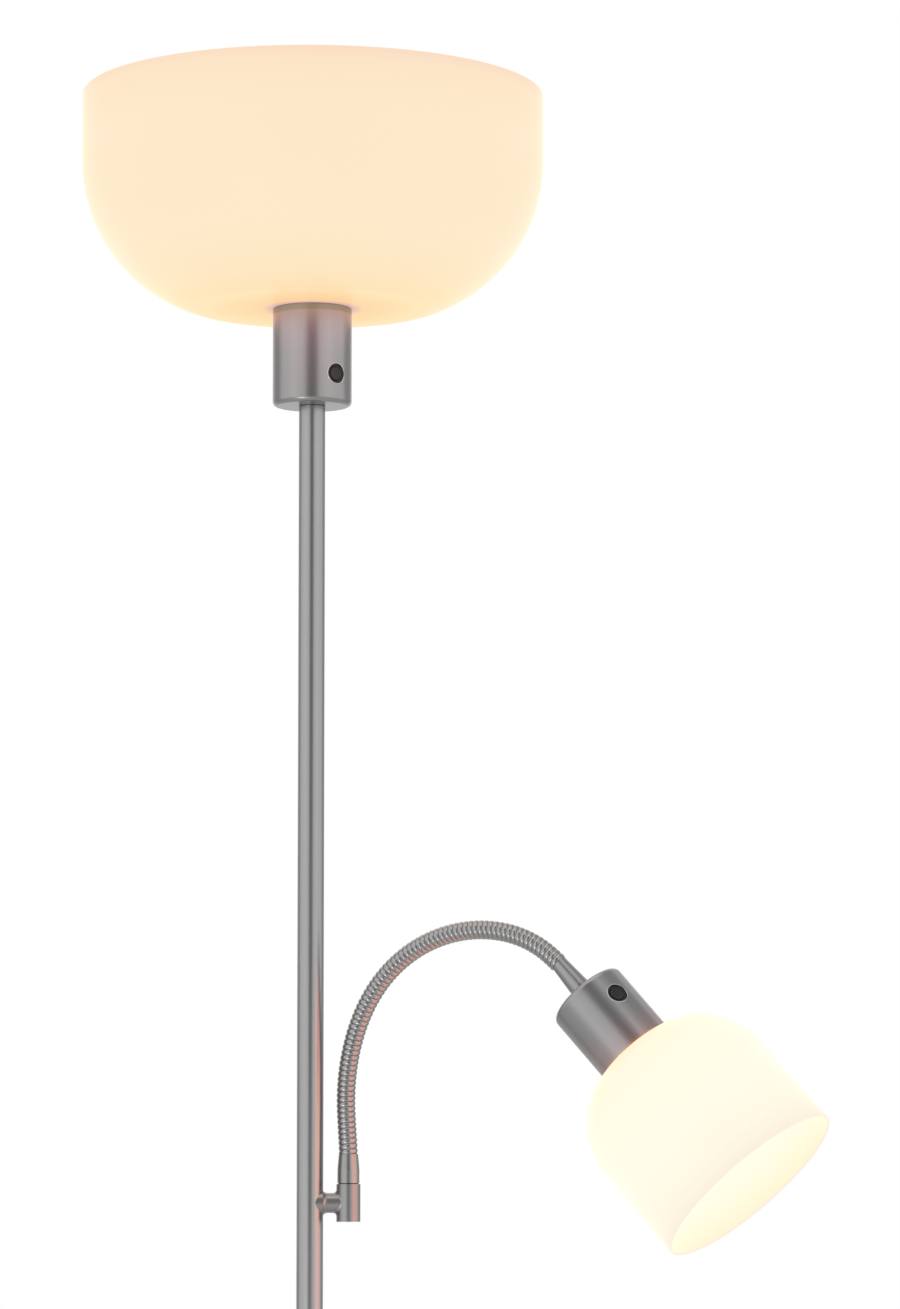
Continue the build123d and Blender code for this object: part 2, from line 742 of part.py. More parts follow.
with BuildPart() as upper_shade:
    with BuildSketch(Plane.XZ):
        with BuildLine():
            outer_side, outer_base = bowl_line(0)
            inner_side, inner_base = bowl_line(bowl_wall)
            Line(outer_side @ 0, inner_side @ 0)
            Line(outer_base @ 1, inner_base @ 1)
        make_face()
    revolve(axis=Axis.Z)
upper_shade.part.label = "upper_shade"
export_step(upper_shade.part, "parts/upper_shade.step")

# The reading shade's shoulder sinks a little into the housing's mouth, and
# touches it on the inner edge.
mouth_radius = housing_radius - housing_wall
shade_sink = shade_shoulder_radius - sqrt(shade_shoulder_radius ** 2
                                          - (mouth_radius - shade_top_radius) ** 2)
shade_seat = head_seat.offset(head_housing_length - shade_sink)


def shade_line(inset):
    """Half outline of the reading shade: flat top, round shoulder, flared side."""
    body_radius = shade_top_radius + shade_shoulder_radius
    crown = Line((head_holder_radius + holder_fit, inset), (shade_top_radius, inset))
    shoulder = JernArc(crown @ 1, (1, 0), shade_shoulder_radius - inset, 90)
    side = Line(shoulder @ 1, (body_radius - inset + shade_flare, shade_depth))
    return crown, side


with BuildPart() as head_shade:
    with BuildSketch(profile_plane(shade_seat)):
        with BuildLine():
            outer_crown, outer_side = shade_line(0)
            inner_crown, inner_side = shade_line(shade_wall)
            Line(outer_crown @ 0, inner_crown @ 0)
            Line(outer_side @ 1, inner_side @ 1)
        make_face()
    revolve(axis=axis_of(shade_seat))
head_shade.part.label = "head_shade"
export_step(head_shade.part, "parts/head_shade.step")

upper_shade_ring = turned(upper_seat, tube_outline(upper_holder_radius + ring_width,
                                                   upper_holder_radius + ring_fit, ring_thickness),
                          upper_housing_length + bowl_wall)
upper_shade_ring.part.label = "upper_shade_ring"
export_step(upper_shade_ring.part, "parts/upper_shade_ring.step")

head_shade_ring = turned(shade_seat, tube_outline(shade_top_radius, head_holder_radius + ring_fit,
                                                  ring_thickness), shade_wall)
head_shade_ring.part.label = "head_shade_ring"
export_step(head_shade_ring.part, "parts/head_shade_ring.step")

# ================================================================ bulbs


def bulb_cap(seat, rise, radius, length):
    return turned(seat, [(0, 0), (radius, 0), (radius, length), (0, length)], rise)


def bulb_globe(seat, rise, neck_radius, globe_radius, length):
    """Frosted globe: a cone from the cap's rim into a ball."""
    centre = length - globe_radius
    low = radians(globe_neck_angle)
    mid = radians(globe_mid_angle)
    with BuildPart() as globe:
        with BuildSketch(profile_plane(seat, rise)):
            with BuildLine():
                foot = Line((0, 0), (neck_radius, 0))
                ball = ThreePointArc((globe_radius * cos(low), centre - globe_radius * sin(low)),
                                     (globe_radius * cos(mid), centre + globe_radius * sin(mid)),
                                     (0, length))
                Line(foot @ 1, ball @ 0)
                Line(ball @ 1, foot @ 0)
            make_face()
        revolve(axis=axis_of(seat))
    return globe


upper_cap_floor = upper_holder_start + upper_holder_length - upper_holder_cavity + cap_stand
upper_bulb_cap = bulb_cap(upper_seat, upper_cap_floor, upper_cap_radius, upper_cap_length)
upper_bulb_cap.part.label = "upper_bulb_cap"
export_step(upper_bulb_cap.part, "parts/upper_bulb_cap.step")

upper_bulb_globe = bulb_globe(upper_seat, upper_cap_floor + upper_cap_length, upper_cap_radius,
                              upper_globe_radius, upper_globe_length)
upper_bulb_globe.part.label = "upper_bulb_globe"
export_step(upper_bulb_globe.part, "parts/upper_bulb_globe.step")

head_cap_floor = head_holder_start + head_holder_length - head_holder_cavity + cap_stand
head_bulb_cap = bulb_cap(head_seat, head_cap_floor, head_cap_radius, head_cap_length)
head_bulb_cap.part.label = "head_bulb_cap"
export_step(head_bulb_cap.part, "parts/head_bulb_cap.step")

head_bulb_globe = bulb_globe(head_seat, head_cap_floor + head_cap_length, head_cap_radius,
                             head_globe_radius, head_globe_length)
head_bulb_globe.part.label = "head_bulb_globe"
export_step(head_bulb_globe.part, "parts/head_bulb_globe.step")
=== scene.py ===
# %% [markdown]
# # A torchiere with a reading light
# This lesson dresses a floor lamp whose solids are already made and jointed.
# The lamp stands on the Z axis. An opal bowl throws light at the ceiling, and a
# second opal shade hangs from a bendable steel hose beside the pole.
# Every piece made here is in metres, in the frame that the solids come in, so a
# new piece drops onto its solid without any fitting.

# %% Load the solids
import math

import bmesh
import bpy
from mathutils import Matrix, Vector


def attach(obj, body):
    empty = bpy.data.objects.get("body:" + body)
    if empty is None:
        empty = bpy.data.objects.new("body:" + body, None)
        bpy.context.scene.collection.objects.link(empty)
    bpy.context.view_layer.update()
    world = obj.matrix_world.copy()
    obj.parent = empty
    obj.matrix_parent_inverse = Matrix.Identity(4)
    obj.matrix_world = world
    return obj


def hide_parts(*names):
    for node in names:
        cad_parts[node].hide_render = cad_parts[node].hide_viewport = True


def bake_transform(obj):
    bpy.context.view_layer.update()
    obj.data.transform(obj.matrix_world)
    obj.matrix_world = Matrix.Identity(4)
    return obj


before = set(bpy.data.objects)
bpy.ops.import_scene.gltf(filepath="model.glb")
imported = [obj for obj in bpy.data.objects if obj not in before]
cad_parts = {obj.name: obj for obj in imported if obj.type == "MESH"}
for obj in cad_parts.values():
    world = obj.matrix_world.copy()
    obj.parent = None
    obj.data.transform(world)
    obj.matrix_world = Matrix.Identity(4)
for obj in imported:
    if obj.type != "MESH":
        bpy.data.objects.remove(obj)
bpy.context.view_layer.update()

MM = 0.001

# %% [markdown]
# ## The camera
# The lamp is seen from a little below its reading light, from three metres away.
# A long lens keeps the bowl and the shade in their true proportions, and the
# camera is pitched up by six degrees, so the bowl's rim arches upwards.

# %% Set the camera
camera_data = bpy.data.cameras.new("studio_camera")
camera_data.lens = 141.02
camera_data.sensor_width = 36.0
camera_data.clip_end = 60.0
camera = bpy.data.objects.new("studio_camera", camera_data)
camera.location = (0.0837, -3.080, 1.128)
camera.rotation_euler = (math.radians(90 + 6.09), 0, 0)
bpy.context.scene.collection.objects.link(camera)
bpy.context.scene.camera = camera
print("camera stands at", tuple(round(value, 3) for value in camera.location))

# %% [markdown]
# ## The studio
# The lamp stands on a pale floor against white. The world is white wherever the
# camera, a reflection or glass looks at it, and gives a plain grey light to the
# rest, so the white background adds nothing to the exposure. Satin metal shows
# what is around it. Cards give its tubes their dark core and their grey edges, as
# a photographer's flags do: one behind the camera and one above it, one on each
# side at the back and one overhead on the right. Only reflections see the cards,
# so each is a plain glow of its own level instead of a lit surface.


# %% Light the world
def nodes_of(owner):
    """Node tree, ready and empty, of a material or world."""
    owner.use_nodes = True
    owner.node_tree.nodes.clear()
    return owner.node_tree


def add(tree, kind, **settings):
    """A node of that kind, with its settings and its sockets' values."""
    node = tree.nodes.new(kind)
    for name, value in settings.items():
        if name.startswith("in_"):
            node.inputs[name[3:].replace("_", " ")].default_value = value
        else:
            setattr(node, name, value)
    return node


AMBIENT = 0.70
world = bpy.data.worlds.new("white_studio")
bpy.context.scene.world = world
tree = nodes_of(world)
path = add(tree, "ShaderNodeLightPath")
seen = add(tree, "ShaderNodeMath", operation="MAXIMUM")
seen_through = add(tree, "ShaderNodeMath", operation="MAXIMUM")
white = add(tree, "ShaderNodeBackground", in_Color=(1, 1, 1, 1), in_Strength=1.0)
grey = add(tree, "ShaderNodeBackground", in_Color=(1, 1, 1, 1), in_Strength=AMBIENT)
choose = add(tree, "ShaderNodeMixShader")
out = add(tree, "ShaderNodeOutputWorld")
tree.links.new(path.outputs["Is Camera Ray"], seen.inputs[0])
tree.links.new(path.outputs["Is Glossy Ray"], seen.inputs[1])
tree.links.new(seen.outputs[0], seen_through.inputs[0])
tree.links.new(path.outputs["Is Transmission Ray"], seen_through.inputs[1])
tree.links.new(seen_through.outputs[0], choose.inputs[0])
tree.links.new(grey.outputs[0], choose.inputs[1])
tree.links.new(white.outputs[0], choose.inputs[2])
tree.links.new(choose.outputs[0], out.inputs["Surface"])
bpy.context.scene.view_settings.view_transform = "Standard"
print("world: white to the eye, and", AMBIENT, "as light")


# %% Hang the lamps
def softbox(name, direction, distance, size, power, colour=(1, 1, 1), centre=(0, 0, 1.35)):
    """Area lamp, seen from the object in that direction, that faces the object."""
    data = bpy.data.lights.new(name, "AREA")
    data.shape = "RECTANGLE"
    data.size, data.size_y = size
    data.energy = power
    data.color = colour
    lamp = bpy.data.objects.new(name, data)
    towards = Vector(direction).normalized()
    lamp.location = Vector(centre) + towards * distance
    lamp.rotation_euler = towards.to_track_quat("Z", "Y").to_euler()
    lamp.visible_camera = False
    bpy.context.scene.collection.objects.link(lamp)
    return lamp


softbox("key_softbox", (-0.82, -0.57, 0.10), 2.6, (0.9, 2.2), 0.8)
softbox("fill_softbox", (0.80, -0.60, 0.05), 2.6, (0.9, 2.2), 0.8)
softbox("low_softbox", (-0.53, -0.72, -0.43), 2.4, (0.9, 0.9), 8.0, centre=(0.17, -0.06, 1.25))
softbox("top_softbox", (0.1, -0.2, 1.0), 2.4, (1.6, 1.6), 5)

# The lit glass colours the metal beside it, so two small warm lamps stand in for it:
# one between the reading shade and the pole, and one under the bowl's foot.
softbox("shade_glow", (0.927, -0.375, 0.0), 0.11, (0.08, 0.22), 0.050, (1.0, 0.20, 0.10),
        centre=(0, 0, 1.15))
softbox("foot_glow", (0, 0, 1), 0.004, (0.22, 0.18), 0.05, (1.0, 0.34, 0.52),
        centre=(0, -0.06, 1.660))


# %% Lay the floor and stand the cards
def plain_material(name, colour, roughness=0.9):
    material = bpy.data.materials.new(name)
    tree = nodes_of(material)
    shader = add(tree, "ShaderNodeBsdfPrincipled", in_Roughness=roughness)
    shader.inputs["Base Color"].default_value = (*colour, 1)
    out = add(tree, "ShaderNodeOutputMaterial")
    tree.links.new(shader.outputs[0], out.inputs["Surface"])
    return material


def standing_plane(name, centre, width, height, facing, material):
    """Flat stage piece: a plane about its centre, facing a direction."""
    mesh = bpy.data.meshes.new(name)
    x, y = width / 2, height / 2
    mesh.from_pydata([(-x, -y, 0), (x, -y, 0), (x, y, 0), (-x, y, 0)], [], [(0, 1, 2, 3)])
    mesh.materials.append(material)
    plane = bpy.data.objects.new(name, mesh)
    plane.location = centre
    plane.rotation_euler = Vector(facing).to_track_quat("Z", "Y").to_euler()
    bpy.context.scene.collection.objects.link(plane)
    return plane


def card_material(name, level):
    """Plain glow of a card, 1 being the white of the world."""
    material = bpy.data.materials.new(name)
    tree = nodes_of(material)
    glow = add(tree, "ShaderNodeEmission", in_Color=(1, 1, 1, 1), in_Strength=level)
    out = add(tree, "ShaderNodeOutputMaterial")
    tree.links.new(glow.outputs[0], out.inputs["Surface"])
    return material


FLOOR_SIDE = 14
pale_floor = plain_material("pale_floor", (0.86, 0.86, 0.85))
standing_plane("studio_floor", (0, 0, 0), FLOOR_SIDE, FLOOR_SIDE, (0, 0, 1), pale_floor)
dark_card = card_material("dark_card", 0.20)
grey_card = card_material("grey_card", 0.48)
cards = [
    standing_plane("card_behind_camera", (0.1, -4.6, 1.80), 2.6, 2.5, (0, 1, 0), dark_card),
    standing_plane("card_left", (-2.40, 1.62, 1.35), 2.2, 3.4, (2.40, -1.62, 0), grey_card),
    standing_plane("card_right", (2.22, 1.86, 1.35), 2.2, 3.4, (-2.22, -1.86, 0), grey_card),
    standing_plane("card_over_right", (1.5, 0.0, 3.5), 3.0, 3.0, (-1.3, 0.0, -2.3), grey_card),
    standing_plane("card_over_camera", (0.02, -2.45, 2.98), 1.9, 1.5, (0.18, 2.35, -1.78),
                   dark_card),
]
for card in cards:
    card.visible_camera = False
    card.visible_diffuse = False
    card.visible_shadow = False
    card.visible_transmission = False
print("floor and", len(cards), "cards are stage pieces")

# %% [markdown]
# ## Satin nickel
# Housings, tubes, tee, ferrules and hose share one finish: nickel over a fine
# blasted grain. It could be one grey metal at one roughness, but then it looks
# like plastic foil. Here the grain is a small bump, the roughness drifts a
# little over a hand's width, and the colour leans from warm to cool with it.


# %% Mix satin nickel
def mapped(tree, source, low, high):
    """A 0..1 output, spread over low..high."""
    spread = add(tree, "ShaderNodeMapRange", in_To_Min=low, in_To_Max=high)
    tree.links.new(source, spread.inputs["Value"])
    return spread.outputs["Result"]


def noise(tree, where, scale, detail=2.0, roughness=0.5):
    """Noise over the piece's own coordinates, scale in cells per metre."""
    cloud = add(tree, "ShaderNodeTexNoise",
                in_Scale=scale, in_Detail=detail, in_Roughness=roughness)
    tree.links.new(where, cloud.inputs["Vector"])
    return cloud.outputs["Fac"]


def blended(tree, factor, first, second):
    """Colour between two, by a 0..1 output."""
    mix = add(tree, "ShaderNodeMix", data_type="RGBA")
    mix.inputs["A"].default_value = (*first, 1)
    mix.inputs["B"].default_value = (*second, 1)
    tree.links.new(factor, mix.inputs["Factor"])
    return mix.outputs["Result"]


def bumped(tree, shader, height, strength, distance):
    bump = add(tree, "ShaderNodeBump", in_Strength=strength, in_Distance=distance)
    tree.links.new(height, bump.inputs["Height"])
    tree.links.new(bump.outputs["Normal"], shader.inputs["Normal"])


def begin(name, **sockets):
    """Material with a shader, and the piece's own coordinates."""
    material = bpy.data.materials.new(name)
    tree = nodes_of(material)
    shader = add(tree, "ShaderNodeBsdfPrincipled", **sockets)
    out = add(tree, "ShaderNodeOutputMaterial")
    tree.links.new(shader.outputs[0], out.inputs["Surface"])
    where = add(tree, "ShaderNodeTexCoord").outputs["Object"]
    return material, tree, shader, where


METAL_SWAY = 0.03
GRAIN_DEPTH = 0.0002


def metal(name, warm, cool, roughness, grain_scale=1400, grain=0.05, drift_scale=9):
    """Metal with a fine grain, and a slow drift in its colour and roughness."""
    material, tree, shader, where = begin(name, in_Metallic=1.0)
    drift = noise(tree, where, drift_scale)
    tree.links.new(blended(tree, drift, warm, cool), shader.inputs["Base Color"])
    uneven = mapped(tree, drift, roughness - METAL_SWAY, roughness + METAL_SWAY)
    tree.links.new(uneven, shader.inputs["Roughness"])
    bumped(tree, shader, noise(tree, where, grain_scale, detail=3), grain, GRAIN_DEPTH)
    return material


SATIN = ((0.365, 0.350, 0.345), (0.345, 0.345, 0.350), 0.30)
satin_nickel = metal("satin_nickel", *SATIN)
tube_nickel = metal("tube_nickel", (0.392, 0.384, 0.384), (0.382, 0.384, 0.390), 0.29)
cast_nickel = metal("cast_nickel", (0.345, 0.330, 0.325), (0.325, 0.325, 0.330), 0.34, 900)
hose_nickel = metal("hose_nickel", (0.40, 0.39, 0.385), (0.37, 0.37, 0.375), 0.24, 1800)
zinc = metal("bright_zinc", (0.62, 0.63, 0.66), (0.70, 0.70, 0.70), 0.35, 700)
polished_rim = metal("polished_rim", (0.62, 0.61, 0.60), (0.60, 0.60, 0.60), 0.22, 2200, 0.03)
metals = (satin_nickel, tube_nickel, cast_nickel, hose_nickel, zinc, polished_rim)
print("metals:", [material.name for material in metals])

# %% [markdown]
# ## Opal glass
# Both shades are opal: clear glass with a thin milky layer that a bulb inside
# lights evenly. Real scattering would need many samples. As the bulbs are on,
# the glass is made to give its own light instead, in the colours that a lit
# shade has. On the bowl they follow the distance from the middle of its foot: a
# mauve shadow against the housing, orange beyond it, then cream up to the rim.
# On the reading shade they follow the height along its axis, inside and outside.
# Outside, the first millimetre and a half is a painted dark orange shade on the
# seam with the housing.


# %% Mix opal glass
def linear(red, green, blue):
    """Shader colour of a screen colour, 0..255 a channel."""
    return tuple(((c / 255 + 0.055) / 1.055) ** 2.4 for c in (red, green, blue))


def from_point(tree, where, point):
    """Distance of each place on the piece from a point."""
    gap = add(tree, "ShaderNodeVectorMath", operation="DISTANCE")
    gap.inputs[1].default_value = point
    tree.links.new(where, gap.inputs[0])
    return gap.outputs["Value"]


def along_axis(tree, where, point, axis):
    """Height of each place on the piece along an axis, from a point."""
    offset = add(tree, "ShaderNodeVectorMath", operation="SUBTRACT")
    offset.inputs[1].default_value = point
    tree.links.new(where, offset.inputs[0])
    height = add(tree, "ShaderNodeVectorMath", operation="DOT_PRODUCT")
    height.inputs[1].default_value = axis
    tree.links.new(offset.outputs["Vector"], height.inputs[0])
    return height.outputs["Value"]


def colour_ramp(tree, share, stops, last):
    """Colour at a 0..1 place among stops of (millimetres, screen colour)."""
    ramp = add(tree, "ShaderNodeValToRGB")
    elements = ramp.color_ramp.elements
    while len(elements) < len(stops):
        elements.new(0.5)
    for element, (place, colour) in zip(elements, stops):
        element.position = place * MM / last
        element.color = (*linear(*colour), 1)
    tree.links.new(share, ramp.inputs[0])
    return ramp.outputs["Color"]


MILKY_SCALE = 7


def opal_glass(name, measure, stops, sway, glow=0.97):
    """Lit opal glass. Its colours are stops of (millimetres, screen colour) along a measure."""
    material, tree, shader, where = begin(name, in_Roughness=0.42, in_Emission_Strength=glow)
    shader.inputs["Base Color"].default_value = (0.03, 0.028, 0.025, 1)
    shader.inputs["Specular IOR Level"].default_value = 0.12
    last = stops[-1][0] * MM
    share = add(tree, "ShaderNodeMapRange", in_From_Max=last)
    tree.links.new(measure(tree, where), share.inputs["Value"])
    cloud = mapped(tree, noise(tree, where, MILKY_SCALE, detail=1), -sway, sway)
    swayed = add(tree, "ShaderNodeMath", operation="ADD")
    tree.links.new(share.outputs["Result"], swayed.inputs[0])
    tree.links.new(cloud, swayed.inputs[1])
    colour = colour_ramp(tree, swayed.outputs[0], stops, last)
    tree.links.new(colour, shader.inputs["Emission Color"])
    return material


BOWL_FLOOR = Vector((0, 0, 1668.0))
HEAD_SEAT = Vector((163.51, -62.56, 1249.03))
HEAD_AXIS = Vector((0.6172, -0.2748, -0.7373)).normalized()
HEAD_LENGTH = 47.713
SHADE_FLOOR = HEAD_SEAT + HEAD_AXIS * HEAD_LENGTH
BOWL_STOPS = [
    (22, (206, 170, 164)), (26, (222, 184, 166)), (31, (250, 206, 156)), (45, (252, 212, 158)),
    (62, (252, 220, 171)), (92, (253, 230, 191)), (125, (253, 234, 202)), (172, (253, 232, 201)),
    (188, (252, 228, 197)), (193, (250, 220, 194))]
# The first two outside stops paint a dark orange shade on the seam with the housing, gone by 1.5
# mm.
OUTSIDE_STOPS = [
    (0, (188, 82, 48)), (0.95, (200, 96, 60)), (1.5, (252, 222, 170)), (4, (254, 243, 208)),
    (12, (254, 248, 222)), (30, (255, 252, 230)), (62, (255, 252, 233)), (88, (255, 249, 229)),
    (97, (254, 245, 226)), (104.2, (252, 238, 220))]
INSIDE_STOPS = [
    (0, (255, 254, 240)), (70, (254, 254, 236)), (82, (254, 253, 231)), (92, (255, 251, 224)),
    (99, (254, 248, 216)), (104.2, (253, 244, 213))]


def from_foot(tree, where):
    return from_point(tree, where, BOWL_FLOOR * MM)


def down_shade(tree, where):
    return along_axis(tree, where, SHADE_FLOOR * MM, HEAD_AXIS)


opal_bowl = opal_glass("opal_bowl", from_foot, BOWL_STOPS, 0.012)
opal_shade = opal_glass("opal_shade", down_shade, OUTSIDE_STOPS, 0.001)
opal_lining = opal_glass("opal_lining", down_shade, INSIDE_STOPS, 0.012)
print("glass:", opal_bowl.name, opal_shade.name, opal_lining.name)

# %% [markdown]
# ## The warm end of the housing
# Light that leaks from the lit shade turns the last centimetres of its housing
# warm, most of all on the seam. A lamp small enough to sit in the seam would be
# slow to sample, so this housing's nickel has a faint glow that fades upwards.

# %% Warm the metal beside the shade
WARM_STOPS = [(0, (138, 62, 30)), (0.7, (124, 54, 26)), (1.3, (84, 30, 18)), (5, (62, 20, 12)),
              (11, (48, 14, 8)), (22, (0, 0, 0))]
WARM_REACH = WARM_STOPS[-1][0]
lit_nickel = metal("lit_nickel", *SATIN)
tree = lit_nickel.node_tree
shader = next(node for node in tree.nodes if node.type == "BSDF_PRINCIPLED")
where = add(tree, "ShaderNodeTexCoord").outputs["Object"]
height = along_axis(tree, where, SHADE_FLOOR * MM, -HEAD_AXIS)
share = add(tree, "ShaderNodeMapRange", in_From_Max=WARM_REACH * MM)
tree.links.new(height, share.inputs["Value"])
colour = colour_ramp(tree, share.outputs["Result"], WARM_STOPS, WARM_REACH * MM)
tree.links.new(colour, shader.inputs["Emission Color"])
shader.inputs["Emission Strength"].default_value = 1.0
print("warm for", WARM_REACH, "mm above the shade")

# %% [markdown]
# ## Plastics, rubber and the small parts
# The switches and the swivel's washer are black plastic, moulded with a faint
# texture. The lampholders are white glazed porcelain, the bulbs are frosted
# glass on a tinned cap, and the lamp stands on a rubber pad over a cast iron
# weight. Each gets a grain of its own size, since a bare colour looks unreal.


# %% Mix the other finishes
MOULD_SWAY = 0.05
MOTTLE_SHARE = 6


def moulded(name, dark, light, roughness, grain_scale, grain, grain_depth=GRAIN_DEPTH,
            **sockets):
    """Non-metal with a mottled colour and a fine surface grain."""
    material, tree, shader, where = begin(name, **sockets)
    mottle = noise(tree, where, grain_scale / MOTTLE_SHARE)
    tree.links.new(blended(tree, mottle, dark, light), shader.inputs["Base Color"])
    uneven = mapped(tree, mottle, roughness - MOULD_SWAY, roughness + MOULD_SWAY)
    tree.links.new(uneven, shader.inputs["Roughness"])
    bumped(tree, shader, noise(tree, where, grain_scale, detail=3), grain, grain_depth)
    return material


switch_black = moulded("switch_black", (0.006, 0.006, 0.007), (0.010, 0.010, 0.010),
                       0.28, 1500, 0.06)
button_black = moulded("button_black", (0.008, 0.008, 0.009), (0.014, 0.013, 0.013),
                       0.36, 2200, 0.10)
washer_nylon = moulded("washer_nylon", (0.012, 0.012, 0.013), (0.020, 0.020, 0.020),
                       0.55, 1200, 0.10)
porcelain = moulded("porcelain", (0.76, 0.75, 0.71), (0.84, 0.83, 0.79), 0.22, 300, 0.03)
pad_rubber = moulded("pad_rubber", (0.020, 0.020, 0.020), (0.045, 0.045, 0.045), 0.80, 600, 0.35)
cast_iron = moulded("cast_iron", (0.07, 0.068, 0.066), (0.13, 0.125, 0.12), 0.70, 260, 0.50,
                    grain_depth=0.0008, in_Metallic=0.6)
cord_sheath = moulded("cord_sheath", (0.012, 0.012, 0.012), (0.022, 0.022, 0.022),
                      0.50, 900, 0.15)


def lit_bulb(name, colour, glow):
    """Frosted globe of a bulb that is on."""
    material, tree, shader, where = begin(name, in_Roughness=0.45, in_Emission_Strength=glow)
    shader.inputs["Base Color"].default_value = (0.8, 0.79, 0.76, 1)
    tree.links.new(blended(tree, noise(tree, where, 40), linear(*colour), linear(255, 250, 236)),
                   shader.inputs["Emission Color"])
    bumped(tree, shader, noise(tree, where, 2500), 0.1, 0.0001)
    return material


frosted_bulb = lit_bulb("frosted_bulb", (255, 240, 208), 1.0)
print("finishes:", len(bpy.data.materials))

# %% [markdown]
# ## Finish the solids that stay
# Most solids already have the right shape, so they only change their finish.
# A dictionary from finish to pieces keeps that readable, and one loop does it.

# %% Give each solid its finish
FINISHES = {
    satin_nickel: ["base_cover", "upper_housing", "lower_ferrule", "upper_ferrule"],
    lit_nickel: ["head_housing"],
    tube_nickel: ["pole_lower", "pole_middle", "pole_upper"],
    cast_nickel: ["tee_bracket", "tee_cap"],
    zinc: ["pole_foot_plug", "pole_head_plug", "pole_coupler_lower", "pole_coupler_upper",
           "base_nipple", "base_washer", "base_nut", "upper_nipple", "upper_washer",
           "upper_nut", "head_nipple", "head_washer", "head_nut", "swivel_nut",
           "upper_bulb_cap", "head_bulb_cap"],
    porcelain: ["upper_lampholder", "head_lampholder", "upper_shade_ring", "head_shade_ring"],
    frosted_bulb: ["upper_bulb_globe", "head_bulb_globe"],
    switch_black: ["upper_switch", "head_switch"],
    button_black: ["upper_button", "head_button"],
    washer_nylon: ["swivel_washer", "cord_gland"],
    pad_rubber: ["base_pad"],
    cast_iron: ["base_weight"],
    cord_sheath: ["mains_lead"],
    opal_bowl: ["upper_shade"],
    opal_shade: ["head_shade"],
    hose_nickel: [f"neck_hose_{number}" for number in range(1, 6)],
}


def dress(piece, material):
    """Puts one material in every slot of the piece."""
    for slot in piece.material_slots:
        slot.material = material
    if not piece.material_slots:
        piece.data.materials.append(material)


for material, names in FINISHES.items():
    for name in names:
        dress(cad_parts[name], material)
left_bare = set(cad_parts) - {name for names in FINISHES.values() for name in names}
print("finished solids; left bare:", sorted(left_bare))

# %% [markdown]
# ## Turned pieces
# The shades, bezels and buttons are all turned shapes: a half outline spun
# about an axis. Blender's Screw modifier can do this. A small function in mesh
# code is as short, closes the piece on its axis, and also marks the edges that
# have to stay crisp, so rounded parts shade smoothly beside them.


# %% Spin an outline
def arc(centre, radius, start, end, steps):
    """Points (radius, height) along an arc, angles in degrees."""
    points = []
    for step in range(steps + 1):
        angle = math.radians(start + (end - start) * step / steps)
        points.append((centre[0] + radius * math.cos(angle), centre[1] + radius * math.sin(angle)))
    return points


def sharpen(mesh_edit, limit=32):
    """Smooth faces everywhere, with a crisp edge where two meet at a steep angle."""
    for face in mesh_edit.faces:
        face.smooth = True
    for edge in mesh_edit.edges:
        if len(edge.link_faces) == 2:
            edge.smooth = edge.calc_face_angle() < math.radians(limit)


def finished_object(name, mesh_edit, place, *materials):
    """Object from the edited mesh, put at its place, with its materials."""
    bmesh.ops.recalc_face_normals(mesh_edit, faces=mesh_edit.faces)
    sharpen(mesh_edit)
    mesh = bpy.data.meshes.new(name)
    mesh_edit.to_mesh(mesh)
    mesh_edit.free()
    mesh.transform(place)
    for material in materials:
        mesh.materials.append(material)
    piece = bpy.data.objects.new(name, mesh)
    bpy.context.scene.collection.objects.link(piece)
    return piece


def turned(name, outline, place, material, segments=96, lining=None, lining_start=0):
    """Closed piece from a closed half outline of (radius, height) in mm.

    From the outline's point number lining_start on, it has the lining's material.
    """
    edit = bmesh.new()
    rings = []
    for radius, height in outline:
        if radius < 1e-6:
            rings.append([edit.verts.new((0, 0, height * MM))])
            continue
        ring = []
        for step in range(segments):
            angle = 2 * math.pi * step / segments
            ring.append(edit.verts.new((radius * MM * math.cos(angle),
                                        radius * MM * math.sin(angle), height * MM)))
        rings.append(ring)
    for number, (ring, above) in enumerate(zip(rings, rings[1:] + rings[:1])):
        for step in range(segments):
            after = (step + 1) % segments
            corners = [ring[step % len(ring)], ring[after % len(ring)],
                       above[after % len(above)], above[step % len(above)]]
            corners = list(dict.fromkeys(corners))
            if len(corners) > 2:
                face = edit.faces.new(corners)
                face.material_index = 1 if lining and number >= lining_start else 0
    return finished_object(name, edit, place, *([material, lining] if lining else [material]))


def seat(origin, axis, side):
    """Place of a turned piece: origin in mm, its axis, and a direction across it."""
    along = Vector(axis).normalized()
    across = Vector(side)
    across = (across - along * across.dot(along)).normalized()
    turn = Matrix((across, along.cross(across), along)).transposed().to_4x4()
    return Matrix.Translation(Vector(origin) * MM) @ turn


# %% [markdown]
# ## The uplight's bowl
# The bowl is one blown opal glass: a straight side, a wide belly, a tighter
# corner and a flat foot that stands on the housing. A plain wall would end in a
# knife-sharp rim, but glass is fire-polished, so the rim here is a half round.

# %% Blow the bowl
BOWL_DEPTH = 132.12
BOWL_RADIUS = 140.45
BOWL_WALL = 3.0
BOWL_SIDE = 42.0
BELLY_RADIUS = 94.0
BELLY_SWEEP = 69.2
CORNER_RADIUS = 34.5
HOLDER_HOLE = 19.3
belly = (BOWL_RADIUS - BELLY_RADIUS, BOWL_DEPTH - BOWL_SIDE)
reach = BELLY_RADIUS - CORNER_RADIUS
corner = (belly[0] + reach * math.cos(math.radians(BELLY_SWEEP)),
          belly[1] - reach * math.sin(math.radians(BELLY_SWEEP)))


def bowl_side(inset):
    """From below the rim to the foot's hole, that far inside the outer face."""
    points = arc(belly, BELLY_RADIUS - inset, 0, -BELLY_SWEEP, 26)
    points += arc(corner, CORNER_RADIUS - inset, -BELLY_SWEEP, -90, 8)[1:]
    return points + [(30.0, inset), (HOLDER_HOLE, inset)]


